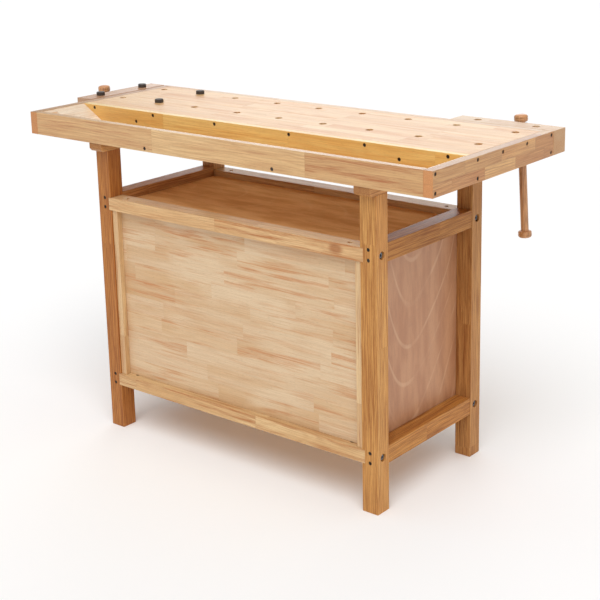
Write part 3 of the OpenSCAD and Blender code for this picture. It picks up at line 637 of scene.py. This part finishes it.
def make_piece(name, bm, material):
    """The finished object of a bmesh: outward faces, smooth shading and sharp edges kept."""
    bmesh.ops.recalc_face_normals(bm, faces=bm.faces)
    mesh = bpy.data.meshes.new(name)
    bm.to_mesh(mesh)
    bm.free()
    mesh.polygons.foreach_set("use_smooth", [True] * len(mesh.polygons))
    mesh.set_sharp_from_angle(angle=CREASE)
    mesh.materials.append(material)
    piece = bpy.data.objects.new(name, mesh)
    bpy.context.scene.collection.objects.link(piece)
    return piece


def facing(axis):
    """The turn that takes +Z to the axis."""
    return Vector(axis).to_track_quat("Z", "Y").to_matrix()


def lathe(name, profile, origin, axis, material):
    """A turned piece: profile gives (height along the axis, radius) pairs, from one end to the other."""
    bm = bmesh.new()
    add_turned(bm, profile, origin, facing(axis))
    return make_piece(name, bm, material)


def round_sizes(node, axis):
    """The middle of a round node, half its length along the axis, and its points' heights and radii."""
    low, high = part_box(node)
    middle = (Vector(low) + Vector(high)) / 2
    spots = np.empty(3 * len(NODES[node].data.vertices))
    NODES[node].data.vertices.foreach_get("co", spots)
    spots = spots.reshape(-1, 3) - np.array(middle)
    heights = spots @ np.array(axis)
    radii = np.linalg.norm(spots - heights[:, None] * np.array(axis), axis=1)
    return middle, heights.max(), heights, radii


def make_handles():
    """Each handle: a bar with a turned knob at both ends, and a scored ring round each knob."""
    for end in ("front", "tail"):
        node = end + "_handle"
        axis = Vector(JOINTS[end + "_handle_slide"]["axis"]).normalized()
        middle, half, heights, radii = round_sizes(node, axis)
        knob_r = radii.max()
        bar_r = radii[radii > knob_r / 4].min()
        knob_l = half - heights[(radii > 0.9 * knob_r) & (heights > 0)].min()
        top = [(half - along * knob_l, share * knob_r) for along, share in HANDLE_KNOB]
        top.append((half - knob_l, bar_r))
        profile = top + [(-height, radius) for height, radius in reversed(top)]
        piece = lathe(node + "_turned", profile, middle, axis, finish_of(node))
        stand(node, piece, end + "_vise_handle")


def make_pulls():
    """The knobs of the drawers and the door, turned round the axis that points out of the front."""
    for node, body in (("drawer_upper_knob", "drawer_upper"), ("drawer_lower_knob", "drawer_lower"),
                       ("door_knob", "door")):
        low, high = (Vector(corner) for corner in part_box(node))
        length = high.y - low.y
        radius = (high.x - low.x) / 2
        middle = (low + high) / 2
        profile = [(along * length, share * radius) for along, share in PULL]
        piece = lathe(node + "_turned", profile, Vector((middle.x, high.y, middle.z)), (0, -1, 0),
                      finish_of(node))
        stand(node, piece, body)


# ---------------------------------------------------------------- threads and screws

PITCH = 5 * MM            # of the vise screws, as their coupling says
PLAIN = 68 * MM           # length of the plain neck that runs through the flange and the jaw
THREAD_POINTS = 32        # points round a turn
THREAD_ROOT = 0.80        # root radius, as a share of the crest's
THREAD = [(0.0, 0), (0.40, 0), (0.50, 1), (0.90, 1)]    # (share of the pitch, 1 at the crest)
TIP = 6 * MM              # plain tip of the screw
JOIN = 0.01 * MM          # distance below which points are one
TIP_CHAMFER = 1.5 * MM
TIP_FACE = 0.70           # radii of the tip's end and of the rod in the thread, as shares of the crest's
ROD = 0.79


def add_thread(bm, low, high, crest, origin, turn):
    """A right-handed thread from height low to high, with open ends."""
    columns = []
    for i in range(THREAD_POINTS):
        angle = 2 * math.pi * i / THREAD_POINTS
        column = []
        for k in range(int((high - low) / PITCH)):
            for share, top in THREAD:
                radius = crest if top else crest * THREAD_ROOT
                height = low + PITCH * (k + share + i / THREAD_POINTS)
                spot = Vector((radius * math.cos(angle), radius * math.sin(angle), height))
                column.append(bm.verts.new(origin + turn @ spot))
        columns.append(column)
    columns.append(columns[0][len(THREAD):])
    for left, right in zip(columns, columns[1:]):
        for m in range(min(len(left), len(right)) - 1):
            bm.faces.new([left[m], right[m], right[m + 1], left[m + 1]])


def make_vise_screw(end):
    """The CAD screw's hub, with its cross bore, and plain neck, on a rod with a square thread."""
    node = end + "_screw"
    axis = Vector(JOINTS[end + "_vise_turn"]["axis"]).normalized()
    middle, _, heights, radii = round_sizes(node, axis)
    start = heights.min()
    crest = radii[heights < start + JOIN].max()
    neck = heights[radii > 1.3 * crest].min() - PLAIN
    bm = bmesh.new()
    bm.from_mesh(NODES[node].data)
    bmesh.ops.remove_doubles(bm, verts=bm.verts, dist=JOIN)
    bmesh.ops.bisect_plane(bm, geom=bm.verts[:] + bm.edges[:] + bm.faces[:],
                           plane_co=middle + axis * neck, plane_no=axis, clear_inner=True)
    turn = facing(axis)
    add_turned(bm, [(start, 0), (start, TIP_FACE * crest), (start + TIP_CHAMFER, ROD * crest),
                    (start + 2 * TIP, ROD * crest), (start + 2 * TIP, 0)], middle, turn)
    add_thread(bm, start + TIP, neck, crest, middle, turn)
    bmesh.ops.holes_fill(bm, edges=[edge for edge in bm.edges if edge.is_boundary])
    piece = make_piece(node + "_threaded", bm, finish_of(node))
    stand(node, piece, end + "_vise_screw")


def solids(node):
    """The separate solids of a node, each as an array of its points."""
    bm = bmesh.new()
    bm.from_mesh(NODES[node].data)
    bmesh.ops.remove_doubles(bm, verts=bm.verts, dist=JOIN)
    found = []
    for start in bm.verts:
        if start.tag:
            continue
        start.tag = True
        solid = [start]
        for vert in solid:
            for edge in vert.link_edges:
                other = edge.other_vert(vert)
                if not other.tag:
                    other.tag = True
                    solid.append(other)
        found.append(np.array([tuple(vert.co) for vert in solid]))
    bm.free()
    return found


HEAD_POINTS = 24
CROSS_ARM = 0.62          # the drive's arm and half its width, as shares of the head's radius
CROSS_WIDE = 0.13
CROSS_DEEP = 1.4 * MM
CROSS_FLOOR = 0.55        # the size of the drive's floor, as a share of its mouth
SHANK = 0.5               # shank radius, as a share of the head's
HEAD_DEEP = 3 * MM        # depth of the countersunk head, and of the cylinder at its rim
HEAD_RIM = 0.3 * MM


def add_wood_screw(bm, points):
    """A countersunk screw with a cross drive in the place of the solid that has these points."""
    long_way = int(np.ptp(points, axis=0).argmax())
    ends = [points[np.abs(points[:, long_way] - value) < JOIN] for value in
            (points[:, long_way].min(), points[:, long_way].max())]
    at_high = np.ptp(ends[1], axis=0).max() > np.ptp(ends[0], axis=0).max()
    head = ends[1] if at_high else ends[0]
    out = Vector((0, 0, 0))
    out[long_way] = 1 if at_high else -1
    centre = Vector((head.min(axis=0) + head.max(axis=0)) / 2)
    radius = np.ptp(head, axis=0).max() / 2
    length = np.ptp(points[:, long_way])
    turn = facing(out)
    shank = SHANK * radius
    rings = add_turned(bm, [(-length, 0), (3 * shank - length, shank), (-HEAD_DEEP, shank),
                            (-HEAD_RIM, radius), (0, radius)], centre, turn, HEAD_POINTS)
    arm, wide = CROSS_ARM * radius, CROSS_WIDE * radius
    quarter = [(arm, -wide), (arm, wide), (wide, wide)]
    corners = [(x * c - y * s, x * s + y * c)
               for c, s in ((1, 0), (0, 1), (-1, 0), (0, -1)) for x, y in quarter]
    mouth = [bm.verts.new(centre + turn @ Vector((x, y, 0))) for x, y in corners]
    floor = [bm.verts.new(centre + turn @ Vector((x * CROSS_FLOOR, y * CROSS_FLOOR, -CROSS_DEEP)))
             for x, y in corners]
    bm.faces.new(floor)
    for i in range(len(mouth)):
        j = (i + 1) % len(mouth)
        bm.faces.new([mouth[i], mouth[j], floor[j], floor[i]])
    rims = [(loop[i], loop[(i + 1) % len(loop)])
            for loop in (rings[-1], mouth) for i in range(len(loop))]
    edges = [bm.edges.get(pair) for pair in rims]
    bmesh.ops.triangle_fill(bm, edges=edges, use_beauty=True)


def make_wood_screws():
    """All the wood screws, as one piece."""
    bm = bmesh.new()
    for points in solids("wood_screws"):
        add_wood_screw(bm, points)
    piece = make_piece("wood_screws_cross_head", bm, finish_of("wood_screws"))
    stand("wood_screws", piece, "root")


# ---------------------------------------------------------------- eased edges

EASED = 0.9 * MM          # width of a rounded edge, and of those of the small metal pieces
FINE_EASED = 0.25 * MM
FINE = ("door_hinges", "door_hinge_leaves", "wood_screws", "frame_bolts", "front_rods", "tail_rods",
        "front_guide")
SQUARE = ("tray_floor", "tail_guide")     # their edges stay as cut
SHARP = math.radians(35)  # faces that turn more than this meet in an edge
FLAT = math.radians(0.5)  # and faces that turn less are joined


def ease_edges():
    """Joins the frame's split corners and flat faces, and rounds the sharp edges to catch the light."""
    for name, piece in NODES.items():
        mesh = piece.data
        mesh.attributes.remove(mesh.attributes["custom_normal"])
        mesh.polygons.foreach_set("use_smooth", [True] * len(mesh.polygons))
        weld = piece.modifiers.new("join_corners", "WELD")
        weld.merge_threshold = JOIN
        flat = piece.modifiers.new("join_flats", "DECIMATE")
        flat.decimate_type = "DISSOLVE"
        flat.angle_limit = FLAT
        flat.delimit = {"SHARP"}
        if name in SQUARE:
            mesh.set_sharp_from_angle(angle=SHARP)
            continue
        bevel = piece.modifiers.new("ease", "BEVEL")
        bevel.width = FINE_EASED if name in FINE else EASED
        bevel.segments = 2
        bevel.limit_method = "ANGLE"
        bevel.angle_limit = SHARP
        bevel.use_clamp_overlap = False
        bevel.loop_slide = False
        normals = piece.modifiers.new("even_shading", "WEIGHTED_NORMAL")
        normals.keep_sharp = False


make_studio()
paint_boards()
paint_plywood()
paint_metal()
make_handles()
make_pulls()
make_vise_screw("front")
make_vise_screw("tail")
make_wood_screws()
ease_edges()
